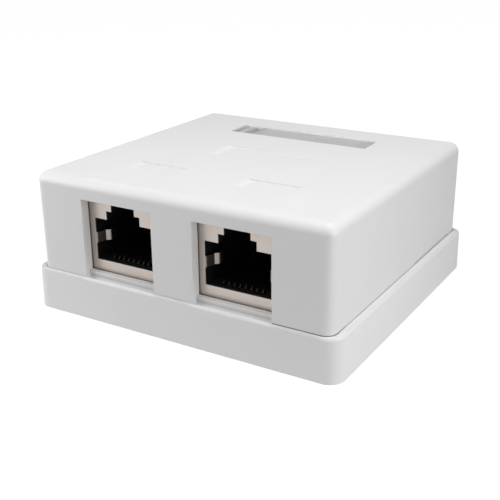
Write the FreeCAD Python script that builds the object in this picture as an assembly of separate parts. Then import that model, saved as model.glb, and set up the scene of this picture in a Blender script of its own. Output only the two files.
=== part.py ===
import FreeCAD
import Part

import math
import os

# Two-port shielded surface mount jack box, in millimetres.
# The origin is the middle of the base's underside, +Z is up and the plug openings face -Y.

# ---------------------------------------------------------------- casing
COVER_WIDTH = 55.5
COVER_DEPTH = 53.9
TOTAL_HEIGHT = 24.4
COVER_CORNER_R = 1.75
COVER_TOP_R = 1.75
COVER_WALL = 1.65
COVER_ROOF = 1.8
COVER_INNER_R = 0.8
COVER_SEAT_Z = 4.4

RIM_HEIGHT = 7.3
RIM_WALL = 1.25
RIM_END_WALL = 0.5
RIM_GAP = 0.12
RIM_TOP_R = 0.45
RIM_CORNER_MORE_R = 0.65
BASE_DRAFT = 0.15
FLOOR = 1.8

SEAT_RIB_WIDTH = 2.8
SEAT_RIB_GAP = 0.15
SEAT_TONGUE = 1.2
SEAT_TONGUE_TOP = 9.5
SEAT_LEAD_IN = 0.5
SIDE_RIB_SPREAD = 13.0
REAR_RIB_SPREAD = 15.0

RELIEF_LENGTH = 17.0
RELIEF_FROM_REAR = 12.8
RELIEF_LIFT = 0.35
LIP_TOP_GAP = 0.15
LIP_END_GAP = 0.4

# ---------------------------------------------------------------- openings in the casing
PORT_OFFSET = 10.88
PORT_WIDTH = 14.05
PORT_LIP = 0.45
SILL_RISE = 0.4
SILL_GAP = 0.05
SILL_SETBACK = 0.9

ENTRY_WIDTH = 9.0
ENTRY_TOP = 12.4
ENTRY_CORNER_R = 3.0

WALL_SLOT_SPACING = 38.0
WALL_SLOT_WIDTH = 4.2
WALL_SLOT_LENGTH = 7.0

# ---------------------------------------------------------------- cover's top face
LABEL_WIDTH = 28.5
LABEL_DEPTH = 6.0
LABEL_FROM_REAR = 10.7
LABEL_POCKET = 1.3
LABEL_GAP = 0.1
LABEL_CARD = 0.25
WINDOW_THICKNESS = 0.85
CATCH_LENGTH = 4.0
CATCH_DIP = 0.55

TITLE_WIDTH = 17.0
TITLE_DEPTH = 6.4
PORT_LABEL_WIDTH = 10.0
PORT_LABEL_DEPTH = 4.2
PORT_LABEL_BACK = 11.6
PANEL_RECESS = 0.18
PANEL_RAMP = 0.6

PAD_WIDTH = 9.0
PAD_DEPTH = 3.0
PAD_GAP = 0.2
ROOF_RIB_THICK = 1.0
ROOF_RIB_DROP = 1.6
ROOF_RIB_GAP = 2.0

# ---------------------------------------------------------------- jacks
JACK_WIDTH = 15.8
JACK_HEIGHT = 13.5
JACK_LENGTH = 18.6
JACK_FACE_GAP = 0.2
JACK_ROOF_GAP = 1.2
SHEET = 0.3
SHEET_BEND_R = 0.5
SMALL_BEND_CHORDS = 2
JACK_FIT = 0.05

PLUG_WIDTH = 11.8
PLUG_HEIGHT = 7.3
PLUG_FLOOR = 2.3
LATCH_WIDTH = 6.8
LATCH_HEIGHT = 1.5
KEY_WIDTH = 4.7
KEY_HEIGHT = 1.2
SOCKET_LENGTH = 13.0

FINGER_RISE = 3.75
FINGER_HEIGHT = 1.85
FINGER_SHEET = 0.22
FINGER_PROUD = 0.15
FINGER_RUN = 1.75
FINGER_LEAN = 0.42
FINGER_FOLD = 0.65
FINGER_TAIL = 1.4
FINGER_SPRING_BACK = 0.54
FINGER_GROOVE = 0.5
FINGER_GAP = 0.15

TAB_LENGTH = 1.6
TAB_BACK = 6.0
WINDOW_SIDE = 2.2
WINDOW_BACK = 5.5
BUMP_HEIGHT = 0.2

PEG_R = 1.5
PEG_SPACING = 11.43
PEG_BACK = 9.2
PEG_DROP = 2.4

WAYS = 8
WAY_PITCH = 1.02
WIRE_WIDTH = 0.4
WIRE_THICK = 0.3
WIRE_SLOT = 0.6
WIRE_SPACE = 0.2
WIRE_LEVEL = 1.08
WIRE_LOOP_BACK = 1.5
WIRE_LOOP_RISE = 1.6
WIRE_TIP_RISE = 3.3
WIRE_BEND_R = 0.5
PIN_ROW_BACK = 14.5
PIN_ROW_STEP = 2.54
PIN_DROP = 1.2
CARRIER_PLATE = 0.9
CARRIER_PLATE_MARGIN = 0.45
CARRIER_SIDE = 0.6
CARRIER_ROOF_DROP = 1.4
CARRIER_COMB = 1.1
COMB_ABOVE_TIP = 2.2

# ---------------------------------------------------------------- circuit board
BOARD_THICK = 1.6
BOARD_SETBACK = 0.3
BOARD_MARGIN = 1.0
BOARD_CORNER_R = 1.0
BOARD_SIDE_GAP = 0.6
BOARD_HOLE_GAP = 0.12
POST_R = 2.7
REST_SIDE = 3.6
REST_EDGE = 0.3
FRONT_SCREW_BACK = 10.2

SCREW_SHANK_R = 0.95
SCREW_HEAD_R = 2.2
SCREW_HEAD_HEIGHT = 1.5
SCREW_TIP_GAP = 0.8
SCREW_GAP = 0.06
SCREW_HOLE_GAP = 0.25

BRIDGE_SHEET = 0.3
BRIDGE_LENGTH = 7.0
BRIDGE_RISE = 7.0
BRIDGE_KNEE_RISE = 2.8
BRIDGE_WAIST_RISE = 5.2
BRIDGE_BOW = 0.3
BRIDGE_BEND_R = 0.5
BRIDGE_GAP = 0.05

# ---------------------------------------------------------------- terminal blocks
TERMINAL_WAYS = 4
TERMINAL_PITCH = 4.2
TERMINAL_END = 0.9
TERMINAL_GAP = 1.2
TERMINAL_ROW = 4.6
TERMINAL_TROUGH = 1.8
TERMINAL_BACK = 2.0
TERMINAL_HEIGHT = 10.4
TERMINAL_SHOULDER = 1.4
TERMINAL_BODY = 4.4
LEAD_SLOT_TOP = 1.1
LEAD_SLOT_BOTTOM = 0.7
LEAD_SLOT_DEPTH = 5.4

BLADE_WIDTH = 2.6
BLADE_THICK = 0.4
BLADE_GAP = 0.1
BLADE_BELOW_TOP = 1.1
BLADE_SEAT = 1.0
BLADE_SLIT = 0.3
BLADE_SLIT_DEPTH = 5.5
BLADE_LEAD_IN = 1.1
BLADE_MOUTH = 1.2
BLADE_SHOULDER = 0.4
BLADE_TAIL = 0.8
BLADE_TAIL_DROP = 1.1

# ---------------------------------------------------------------- cable clamp
CABLE_R = 3.0
CABLE_GAP = 0.1
CLAMP_THICK = 1.4
CLAMP_DEPTH = 6.0
CLAMP_SCREW_SPACING = 16.0
CLAMP_BOSS_R = 2.9
CLAMP_BOSS_TOP = 6.4
CLAMP_END = 2.9
SADDLE_THICK = 2.0
CLAMP_SCREW_SHANK_R = 1.3
CLAMP_SCREW_HEAD_R = 2.6
CLAMP_SCREW_HEAD_HEIGHT = 1.8
CLAMP_SCREW_LENGTH = 5.2

# ---------------------------------------------------------------- places worked out from the sizes
CUT = 1.0
BITE = 0.2
EDGE_PICK = 0.01
FILLET_SHARE = 0.9
PIN_HOLE_SIDES = 6
SHANK_SIDES = 12
FRONT_Y = -COVER_DEPTH / 2
REAR_Y = COVER_DEPTH / 2
LABEL_Y = REAR_Y - LABEL_FROM_REAR
PORT_LABEL_Y = FRONT_Y + PORT_LABEL_BACK
RELIEF_MIDDLE_Y = REAR_Y - RELIEF_FROM_REAR
INNER_WIDTH = COVER_WIDTH - 2 * COVER_WALL
INNER_DEPTH = COVER_DEPTH - 2 * COVER_WALL
WELL_WIDTH = COVER_WIDTH + 2 * RIM_GAP
WELL_DEPTH = COVER_DEPTH + 2 * RIM_GAP
RIM_WIDTH = WELL_WIDTH + 2 * RIM_WALL
RIM_DEPTH = WELL_DEPTH + 2 * RIM_END_WALL
ROOF_Z = TOTAL_HEIGHT - COVER_ROOF
TONGUE_SEAT = RIM_GAP + COVER_WALL + SEAT_RIB_GAP
RELIEF_TOP = RIM_HEIGHT + RELIEF_LIFT

JACK_FACE_Y = FRONT_Y + COVER_WALL + JACK_FACE_GAP
JACK_REAR_Y = JACK_FACE_Y + JACK_LENGTH
JACK_TOP = ROOF_Z - JACK_ROOF_GAP
BOARD_TOP = JACK_TOP - JACK_HEIGHT
PORT_TOP = JACK_TOP - PORT_LIP
SILL_TOP = BOARD_TOP + SILL_RISE
SOCKET_FLOOR_Z = BOARD_TOP + PLUG_FLOOR
FINGER_Z = SOCKET_FLOOR_Z + FINGER_RISE
SOCKET_END_Y = JACK_FACE_Y + SOCKET_LENGTH
WIRE_Z = BOARD_TOP + WIRE_LEVEL
WIRE_FRONT_Y = JACK_FACE_Y + WIRE_LOOP_BACK
WIRE_SLOT_END_Y = WIRE_FRONT_Y + 2 * WIRE_BEND_R + WIRE_THICK
CARRIER_POCKET = (WAYS - 1) * WAY_PITCH + WIRE_WIDTH + 2 * CARRIER_PLATE_MARGIN
CARRIER_UPRIGHT = PLUG_WIDTH + 2 * CARRIER_SIDE
CARRIER_TOP = JACK_TOP - SHEET - CARRIER_ROOF_DROP
WIRE_TOP = WIRE_Z + WIRE_THICK / 2 + WIRE_SPACE
COMB_FRONT_Y = WIRE_FRONT_Y - WIRE_BEND_R
WINDOW_Y = JACK_REAR_Y - WINDOW_BACK
TAB_Y = JACK_FACE_Y + TAB_BACK
PEG_Y = JACK_FACE_Y + PEG_BACK

BOARD_BOTTOM = BOARD_TOP - BOARD_THICK
SCREW_LENGTH = BOARD_TOP - FLOOR - SCREW_TIP_GAP
TERMINAL_WIDTH = TERMINAL_WAYS * TERMINAL_PITCH + 2 * TERMINAL_END
TERMINAL_DEPTH = 2 * TERMINAL_ROW + TERMINAL_TROUGH
TERMINAL_OFFSET = (TERMINAL_WIDTH + TERMINAL_GAP) / 2
TERMINAL_Y = JACK_REAR_Y + TERMINAL_BACK + TERMINAL_DEPTH / 2
BOARD_WIDTH = 2 * (TERMINAL_OFFSET + TERMINAL_WIDTH / 2 + BOARD_MARGIN)
BOARD_FRONT_Y = JACK_FACE_Y + BOARD_SETBACK
REAR_SCREW_Y = TERMINAL_Y + TERMINAL_DEPTH / 2 + BOARD_MARGIN + SCREW_HEAD_R
BOARD_REAR_Y = REAR_SCREW_Y + SCREW_HEAD_R + BOARD_MARGIN
REAR_SCREW_X = BOARD_WIDTH / 2 - SCREW_HEAD_R - BOARD_MARGIN
FRONT_SCREW_Y = JACK_FACE_Y + FRONT_SCREW_BACK
REST_X = BOARD_WIDTH / 2 - REST_EDGE - REST_SIDE / 2
REST_Y = BOARD_FRONT_Y + REST_EDGE + REST_SIDE / 2
FRONT_RIB_X = BOARD_WIDTH / 2 + BOARD_SIDE_GAP + SEAT_RIB_WIDTH / 2

CABLE_Y = (BOARD_REAR_Y + INNER_DEPTH / 2) / 2
CABLE_Z = COVER_SEAT_Z + CABLE_R + CABLE_GAP


# ---------------------------------------------------------------- shape helpers
def box(x0, x1, y0, y1, z0, z1):
    """A block between two corners."""
    return Part.makeBox(x1 - x0, y1 - y0, z1 - z0, FreeCAD.Vector(x0, y0, z0))


def pad(width, depth, x, y, z0, z1):
    """A block centred on (x, y), from z0 to z1."""
    return box(x - width / 2, x + width / 2, y - depth / 2, y + depth / 2, z0, z1)


def cylinder(radius, x, y, z0, z1):
    """An upright cylinder."""
    return Part.makeCylinder(radius, z1 - z0, FreeCAD.Vector(x, y, z0))


def rounded_wire(width, depth, radius, z):
    """A rectangle with round corners, centred on the Z axis at height z."""
    a = width / 2
    b = depth / 2
    s = radius * (1 - math.sqrt(0.5))
    sides = [
        ((-a + radius, -b), (a - radius, -b), (a - s, -b + s), (a, -b + radius)),
        ((a, -b + radius), (a, b - radius), (a - s, b - s), (a - radius, b)),
        ((a - radius, b), (-a + radius, b), (-a + s, b - s), (-a, b - radius)),
        ((-a, b - radius), (-a, -b + radius), (-a + s, -b + s), (-a + radius, -b)),
    ]
    edges = []
    for start, end, middle, corner_end in sides:
        p, q, m, r = [FreeCAD.Vector(u, v, z) for u, v in (start, end, middle, corner_end)]
        edges.append(Part.LineSegment(p, q).toShape())
        edges.append(Part.Arc(q, m, r).toShape())
    return Part.Wire(edges)


def rounded_prism(width, depth, radius, z0, z1, x=0.0, y=0.0):
    """A rounded rectangle extruded from z0 to z1 around (x, y)."""
    face = Part.Face(rounded_wire(width, depth, radius, z0))
    solid = face.extrude(FreeCAD.Vector(0, 0, z1 - z0))
    solid.translate(FreeCAD.Vector(x, y, 0))
    return solid


def slot_prism(length, width, x, y, z0, z1):
    """A slot with round ends, long along X."""
    run = (length - width) / 2
    half = width / 2
    corners = [(x - run, y - half), (x + run, y - half), (x + run, y + half), (x - run, y + half)]
    a, b, c, d = [FreeCAD.Vector(u, v, z0) for u, v in corners]
    right = Part.Arc(b, FreeCAD.Vector(x + length / 2, y, z0), c).toShape()
    left = Part.Arc(d, FreeCAD.Vector(x - length / 2, y, z0), a).toShape()
    wire = Part.Wire([Part.LineSegment(a, b).toShape(), right, Part.LineSegment(c, d).toShape(), left])
    return Part.Face(wire).extrude(FreeCAD.Vector(0, 0, z1 - z0))


def extrude_xy(points, z0, z1):
    """A polygon of (x, y) points extruded along Z."""
    loop = [FreeCAD.Vector(x, y, z0) for x, y in points]
    return Part.Face(Part.makePolygon(loop + loop[:1])).extrude(FreeCAD.Vector(0, 0, z1 - z0))


def few_sided(reach, sides, x, y, z0, z1):
    """An upright prism with its corners at the given radius, for small round things that repeat."""
    turns = [2 * math.pi * side / sides for side in range(sides)]
    return extrude_xy([(x + reach * math.cos(t), y + reach * math.sin(t)) for t in turns], z0, z1)


def small_hole(radius, sides, x, y, z0, z1):
    """A small round hole drawn with few sides, its flats at the given radius."""
    return few_sided(radius / math.cos(math.pi / sides), sides, x, y, z0, z1)


def extrude_yz(points, x0, x1):
    """A polygon of (y, z) points extruded along X."""
    loop = [FreeCAD.Vector(x0, y, z) for y, z in points]
    return Part.Face(Part.makePolygon(loop + loop[:1])).extrude(FreeCAD.Vector(x1 - x0, 0, 0))


def extrude_xz(points, y0, y1):
    """A polygon of (x, z) points extruded along Y."""
    loop = [FreeCAD.Vector(x, y0, z) for x, z in points]
    return Part.Face(Part.makePolygon(loop + loop[:1])).extrude(FreeCAD.Vector(0, y1 - y0, 0))


def strip_outline(path, radii, thickness):
    """The edge-on outline of a bent strip as a closed list of flat (u, v) points.

    path holds the corners of its centre line and radii the centre-line radius of each inner corner.
    Each bend is drawn with a few chords, because the strips are so small.
    """
    half = thickness / 2
    spine = []
    for before, corner, after, radius in zip(path, path[1:], path[2:], radii):
        heading = math.atan2(corner[1] - before[1], corner[0] - before[0])
        leaving = math.atan2(after[1] - corner[1], after[0] - corner[0])
        turn = math.remainder(leaving - heading, 2 * math.pi)
        reach = radius * math.tan(abs(turn) / 2)
        sign = math.copysign(1, turn)
        start_u = corner[0] - reach * math.cos(heading)
        start_v = corner[1] - reach * math.sin(heading)
        centre_u = start_u - sign * radius * math.sin(heading)
        centre_v = start_v + sign * radius * math.cos(heading)
        for step in range(SMALL_BEND_CHORDS + 1):
            angle = heading + turn * step / SMALL_BEND_CHORDS
            u = centre_u + sign * radius * math.sin(angle)
            v = centre_v - sign * radius * math.cos(angle)
            spine.append((u, v, angle))
    first = math.atan2(path[1][1] - path[0][1], path[1][0] - path[0][0])
    last = math.atan2(path[-1][1] - path[-2][1], path[-1][0] - path[-2][0])
    spine = [(path[0][0], path[0][1], first)] + spine + [(path[-1][0], path[-1][1], last)]
    left = [(u - half * math.sin(a), v + half * math.cos(a)) for u, v, a in spine]
    right = [(u + half * math.sin(a), v - half * math.cos(a)) for u, v, a in spine]
    return left + right[::-1]


def mirrored_x(shape):
    """The same shape on the other side of the YZ plane."""
    return shape.mirror(FreeCAD.Vector(0, 0, 0), FreeCAD.Vector(1, 0, 0))


def moved(shape, x, y=0.0, z=0.0):
    """A copy of a shape, moved."""
    copy = shape.copy()
    copy.translate(FreeCAD.Vector(x, y, z))
    return copy


def way_places(count, pitch):
    """Evenly spaced places about zero."""
    return [(index - (count - 1) / 2) * pitch for index in range(count)]


# ---------------------------------------------------------------- base tray
def seat_rib(x, y, turn):
    """A rib that carries the cover's lower edge, with a tongue inside the cover's wall.

    At turn 0 it stands on the front wall. Its foot starts inside the rim, and u runs inwards.
    """
    seat = TONGUE_SEAT
    back = seat + SEAT_TONGUE
    outline = [
        (-BITE, FLOOR - BITE),
        (back, FLOOR - BITE),
        (back, SEAT_TONGUE_TOP),
        (seat + SEAT_LEAD_IN, SEAT_TONGUE_TOP),
        (seat, SEAT_TONGUE_TOP - 2 * SEAT_LEAD_IN),
        (seat, COVER_SEAT_Z),
        (-BITE, COVER_SEAT_Z),
    ]
    rib = extrude_yz(outline, -SEAT_RIB_WIDTH / 2, SEAT_RIB_WIDTH / 2)
    rib.rotate(FreeCAD.Vector(0, 0, 0), FreeCAD.Vector(0, 0, 1), turn)
    rib.translate(FreeCAD.Vector(x, y, 0))
    return rib


def seat_ribs():
    """All the ribs that carry and place the cover."""
    ribs = []
    for side in (-1, 1):
        ribs.append(seat_rib(side * FRONT_RIB_X, -WELL_DEPTH / 2, 0))
        ribs.append(seat_rib(side * REAR_RIB_SPREAD, WELL_DEPTH / 2, 180))
        ribs.append(seat_rib(WELL_WIDTH / 2, side * SIDE_RIB_SPREAD, 90))
        ribs.append(seat_rib(-WELL_WIDTH / 2, side * SIDE_RIB_SPREAD, -90))
    return ribs


def sill(x):
    """The step of the base that closes a port notch under the jack."""
    half = PORT_WIDTH / 2 - SILL_GAP
    outline = [
        (-WELL_DEPTH / 2 - BITE, FLOOR - BITE),
        (JACK_FACE_Y - JACK_FACE_GAP, FLOOR - BITE),
        (JACK_FACE_Y - JACK_FACE_GAP, SILL_TOP),
        (FRONT_Y + SILL_SETBACK, SILL_TOP),
        (FRONT_Y + SILL_SETBACK, RIM_HEIGHT - RIM_TOP_R),
        (-WELL_DEPTH / 2 - BITE, RIM_HEIGHT - RIM_TOP_R),
    ]
    return extrude_yz(outline, x - half, x + half)


def relief_lip():
    """The lip of the base that fills the relief in the cover's right wall, short of its ends."""
    half = RELIEF_LENGTH / 2 - LIP_END_GAP
    inside = WELL_WIDTH / 2 - TONGUE_SEAT
    outside = WELL_WIDTH / 2 + BITE
    low = FLOOR - BITE
    high = RELIEF_TOP - LIP_TOP_GAP
    ledge = RIM_HEIGHT - RIM_TOP_R
    face = COVER_WIDTH / 2
    outline = [(inside, low), (outside, low), (outside, ledge), (face, ledge), (face, high), (inside, high)]
    return extrude_xz(outline, RELIEF_MIDDLE_Y - half, RELIEF_MIDDLE_Y + half)


def board_posts():
    """Round bosses under the board's screws and square rests under its front corners."""
    posts = [cylinder(POST_R, x, y, FLOOR - BITE, BOARD_BOTTOM) for x, y in screw_places()]
    for side in (-1, 1):
        posts.append(pad(REST_SIDE, REST_SIDE, side * REST_X, REST_Y, FLOOR - BITE, BOARD_BOTTOM))
    return posts


def screw_places():
    """Centres of the board's screws."""
    return [(0.0, FRONT_SCREW_Y), (-REAR_SCREW_X, REAR_SCREW_Y), (REAR_SCREW_X, REAR_SCREW_Y)]


def clamp_places():
    """Centres of the cable clamp's screws."""
    return [(side * CLAMP_SCREW_SPACING / 2, CABLE_Y) for side in (-1, 1)]


def cable_saddle():
    """Two bosses and a hollowed rib that carry the cable and its clamp."""
    half = CLAMP_SCREW_SPACING / 2
    rib = pad(2 * half, SADDLE_THICK, 0, CABLE_Y, FLOOR - BITE, CLAMP_BOSS_TOP)
    hollow = Part.makeCylinder(
        CABLE_R + CABLE_GAP,
        SADDLE_THICK + 2 * CUT,
        FreeCAD.Vector(0, CABLE_Y - SADDLE_THICK / 2 - CUT, CABLE_Z),
        FreeCAD.Vector(0, 1, 0),
    )
    saddle = rib.cut(hollow)
    for x, y in clamp_places():
        saddle = saddle.fuse(cylinder(CLAMP_BOSS_R, x, y, FLOOR - BITE, CLAMP_BOSS_TOP))
    return saddle


def rim_block():
    """The tray before it is hollowed: a little wider at its foot, with a round top edge."""
    outer_r = COVER_CORNER_R + RIM_GAP + RIM_CORNER_MORE_R
    foot = rounded_wire(RIM_WIDTH + 2 * BASE_DRAFT, RIM_DEPTH + 2 * BASE_DRAFT, outer_r + BASE_DRAFT, 0)
    top = rounded_wire(RIM_WIDTH, RIM_DEPTH, outer_r, RIM_HEIGHT)
    block = Part.makeLoft([foot, top], True, True)
    top_edges = [e for e in block.Edges if e.BoundBox.ZMin > RIM_HEIGHT - EDGE_PICK]
    return block.makeFillet(min(RIM_TOP_R, min(RIM_WALL, RIM_END_WALL) * FILLET_SHARE), top_edges)


def pilot_holes():
    """Blind holes for all the screws."""
    board_r = SCREW_SHANK_R + SCREW_GAP
    clamp_r = CLAMP_SCREW_SHANK_R + SCREW_GAP
    pilots = [small_hole(board_r, SHANK_SIDES, x, y, FLOOR, BOARD_BOTTOM + CUT) for x, y in screw_places()]
    for x, y in clamp_places():
        pilots.append(small_hole(clamp_r, SHANK_SIDES, x, y, FLOOR, CLAMP_BOSS_TOP + CUT))
    return pilots


def base_tray():
    """The moulded tray that is screwed to the wall and carries everything else."""
    well = rounded_prism(WELL_WIDTH, WELL_DEPTH, COVER_CORNER_R + RIM_GAP, FLOOR, RIM_HEIGHT + CUT)
    tray = rim_block().cut(well)
    pieces = seat_ribs() + board_posts()
    pieces += [sill(-PORT_OFFSET), sill(PORT_OFFSET), relief_lip(), cable_saddle()]
    tray = tray.fuse(pieces)
    cuts = pilot_holes()
    for side in (-1, 1):
        x = side * WALL_SLOT_SPACING / 2
        cuts.append(slot_prism(WALL_SLOT_LENGTH, WALL_SLOT_WIDTH, x, CABLE_Y, -CUT, FLOOR + CUT))
    half = ENTRY_WIDTH / 2
    cuts.append(box(-half, half, WELL_DEPTH / 2 - BITE, RIM_DEPTH / 2 + CUT, COVER_SEAT_Z, RIM_HEIGHT + CUT))
    return tray.cut(cuts).removeSplitter()


# ---------------------------------------------------------------- cover
def cover_shell():
    """The bare shell, rounded on top and open below."""
    outer = rounded_prism(COVER_WIDTH, COVER_DEPTH, COVER_CORNER_R, COVER_SEAT_Z, TOTAL_HEIGHT)
    top_edges = [e for e in outer.Edges if e.BoundBox.ZMin > TOTAL_HEIGHT - EDGE_PICK]
    outer = outer.makeFillet(min(COVER_TOP_R, COVER_CORNER_R), top_edges)
    return outer.cut(rounded_prism(INNER_WIDTH, INNER_DEPTH, COVER_INNER_R, COVER_SEAT_Z - CUT, ROOF_Z))


def entry_notch():
    """The arched notch for the cable in the cover's rear wall."""
    radius = min(ENTRY_CORNER_R, ENTRY_WIDTH / 2 * FILLET_SHARE)
    half = ENTRY_WIDTH / 2
    notch = box(-half, half, INNER_DEPTH / 2 - CUT, REAR_Y + CUT, COVER_SEAT_Z - CUT, ENTRY_TOP)
    top_edges = [e for e in notch.Edges if e.BoundBox.ZMin > ENTRY_TOP - EDGE_PICK]
    corners = [e for e in top_edges if e.BoundBox.XLength < EDGE_PICK]
    return notch.makeFillet(radius, corners)


def sunk_panel(width, depth, x, y):
    """A shallow recess for the top face, with a ramp at its left end and upright walls elsewhere."""
    high = TOTAL_HEIGHT + CUT
    low = TOTAL_HEIGHT - PANEL_RECESS
    left = x - width / 2
    right = x + width / 2
    outline = [(left, high), (left, TOTAL_HEIGHT), (left + PANEL_RAMP, low), (right, low), (right, high)]
    return extrude_xz(outline, y - depth / 2, y + depth / 2)


def top_recesses():
    """The label pocket, the title panel and the panel over each port, all sunk into the top face."""
    pocket_floor = TOTAL_HEIGHT - LABEL_POCKET
    recesses = [
        pad(LABEL_WIDTH, LABEL_DEPTH, 0, LABEL_Y, pocket_floor, TOTAL_HEIGHT + CUT),
        sunk_panel(TITLE_WIDTH, TITLE_DEPTH, 0, 0),
    ]
    for side in (-1, 1):
        recesses.append(sunk_panel(PORT_LABEL_WIDTH, PORT_LABEL_DEPTH, side * PORT_OFFSET, PORT_LABEL_Y))
    return recesses


def roof_ribs():
    """A pad over each jack and a stiffening rib outside each terminal block."""
    ribs = []
    for side in (-1, 1):
        high = ROOF_Z + BITE
        pad_y = JACK_FACE_Y + JACK_LENGTH / 2
        ribs.append(pad(PAD_WIDTH, PAD_DEPTH, side * PORT_OFFSET, pad_y, JACK_TOP + PAD_GAP, high))
        x = side * (TERMINAL_OFFSET + TERMINAL_WIDTH / 2 + ROOF_RIB_GAP)
        run = INNER_DEPTH / 2 + BITE - JACK_REAR_Y
        ribs.append(pad(ROOF_RIB_THICK, run, x, JACK_REAR_Y + run / 2, ROOF_Z - ROOF_RIB_DROP, high))
    return ribs


def cover():
    """The lift-off cover with its port notches, label pocket, panels and inner ribs."""
    cuts = [entry_notch()] + top_recesses()
    wall_cut = 2 * COVER_WALL + 2 * CUT
    for side in (-1, 1):
        cuts.append(pad(PORT_WIDTH, wall_cut, side * PORT_OFFSET, FRONT_Y, COVER_SEAT_Z - CUT, PORT_TOP))
    low = COVER_SEAT_Z - CUT
    cuts.append(pad(wall_cut, RELIEF_LENGTH, COVER_WIDTH / 2, RELIEF_MIDDLE_Y, low, RELIEF_TOP))
    return cover_shell().fuse(roof_ribs()).cut(cuts).removeSplitter()


def label_card():
    """The card on the floor of the label pocket."""
    low = TOTAL_HEIGHT - LABEL_POCKET
    return pad(LABEL_WIDTH - 2 * LABEL_GAP, LABEL_DEPTH - 2 * LABEL_GAP, 0, LABEL_Y, low, low + LABEL_CARD)


def label_window():
    """The clear insert over the card, with a ribbed finger catch at its left end."""
    low = TOTAL_HEIGHT - LABEL_POCKET + LABEL_CARD
    high = low + WINDOW_THICKNESS
    right = LABEL_WIDTH / 2 - LABEL_GAP
    left = -right
    step = CATCH_LENGTH / 4
    outline = [
        (left, low),
        (right, low),
        (right, high),
        (left + CATCH_LENGTH, high),
        (left + 3 * step, high - CATCH_DIP),
        (left + 2 * step, high),
        (left + step, high),
        (left, high - CATCH_DIP),
    ]
    half = LABEL_DEPTH / 2 - LABEL_GAP
    return extrude_xz(outline, LABEL_Y - half, LABEL_Y + half)


# ---------------------------------------------------------------- jacks, drawn about x = 0
def plug_outline():
    """The stepped plug opening as (x, z) points, from its floor to the top of the latch notch."""
    steps = [(PLUG_WIDTH / 2, PLUG_HEIGHT), (LATCH_WIDTH / 2, LATCH_HEIGHT), (KEY_WIDTH / 2, KEY_HEIGHT)]
    right = []
    z = SOCKET_FLOOR_Z
    for half, height in steps:
        right.append((half, z))
        z += height
        right.append((half, z))
    return right + [(-x, level) for x, level in reversed(right)]


def spring_finger():
    """The finger folded back from the right edge of the plug opening."""
    x = PLUG_WIDTH / 2 - FINGER_PROUD + FINGER_SHEET / 2
    y = JACK_FACE_Y + SHEET / 2
    knee = x - FINGER_LEAN
    path = [
        (x, y),
        (knee, y + FINGER_RUN),
        (knee - FINGER_FOLD, y + FINGER_RUN + FINGER_FOLD),
        (knee - FINGER_FOLD + FINGER_SPRING_BACK, y + FINGER_RUN + FINGER_FOLD + FINGER_TAIL),
    ]
    outline = strip_outline(path, [FINGER_SHEET] * 2, FINGER_SHEET)
    return extrude_xy(outline, FINGER_Z - FINGER_HEIGHT / 2, FINGER_Z + FINGER_HEIGHT / 2)


def jack_shield():
    """The folded sheet around a jack, with its plug opening, fingers, tabs and side windows."""
    half = JACK_WIDTH / 2
    outer = box(-half, half, JACK_FACE_Y, JACK_REAR_Y, BOARD_TOP, JACK_TOP)
    side_folds = [e for e in outer.Edges if e.BoundBox.ZLength > CUT]
    top_edges = [e for e in outer.Edges if e.BoundBox.ZMin > JACK_TOP - EDGE_PICK]
    roof_folds = [e for e in top_edges if e.BoundBox.YLength > CUT]
    outer = outer.makeFillet(SHEET_BEND_R, side_folds + roof_folds)
    inside = half - SHEET
    cuts = [
        box(-inside, inside, JACK_FACE_Y + SHEET, JACK_REAR_Y - SHEET, BOARD_TOP - CUT, JACK_TOP - SHEET),
        extrude_xz(plug_outline(), JACK_FACE_Y - CUT, JACK_FACE_Y + SHEET + CUT),
        box(-half - CUT, half + CUT, WINDOW_Y, WINDOW_Y + WINDOW_SIDE, FINGER_Z, FINGER_Z + WINDOW_SIDE),
    ]
    tab = box(half - SHEET, half, TAB_Y, TAB_Y + TAB_LENGTH, BOARD_BOTTOM - PIN_DROP, BOARD_TOP + BITE)
    finger = spring_finger()
    return outer.cut(cuts).fuse([tab, mirrored_x(tab), finger, mirrored_x(finger)]).removeSplitter()


def wire_slots(y0, y1, z0, z1):
    """One narrow block for each contact wire, between the given limits."""
    return [box(x - WIRE_SLOT / 2, x + WIRE_SLOT / 2, y0, y1, z0, z1) for x in way_places(WAYS, WAY_PITCH)]


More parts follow.
